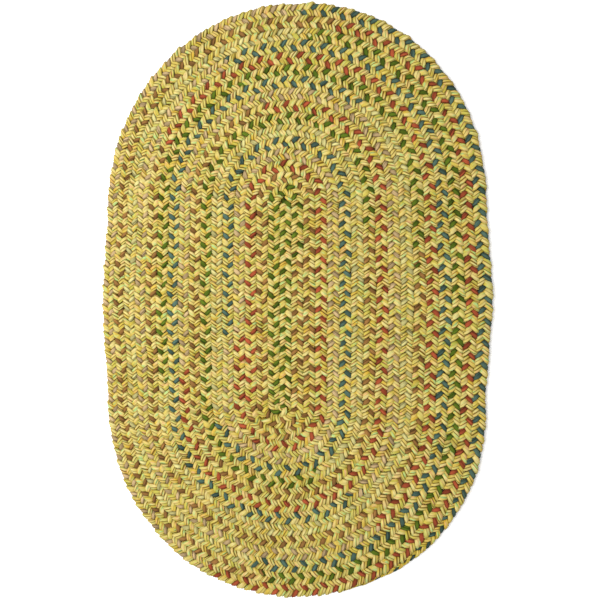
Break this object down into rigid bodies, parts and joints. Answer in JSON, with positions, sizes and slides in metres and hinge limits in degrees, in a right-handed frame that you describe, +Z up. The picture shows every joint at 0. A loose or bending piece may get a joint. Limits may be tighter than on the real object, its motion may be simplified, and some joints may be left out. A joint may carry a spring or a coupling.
{
  "type": "braided rug",
  "caption": "Oval rug made of one flat braid coiled edge to edge and laced into a flat mat, to lie on a floor.",
  "frame": {"origin": "middle of the rug's underside, on the surface it lies on", "axes": "+Z up through the rug, +Y along the long axis of the oval, +X across it"},
  "size_m": [0.6096, 0.9144, 0.011],
  "materials": {
    "braid": "dull heathered straw-coloured yarn with green, red, blue and brown flecks"
  },
  "bodies": {
    "root": {"braid": "braid"}
  },
  "joints": []
}
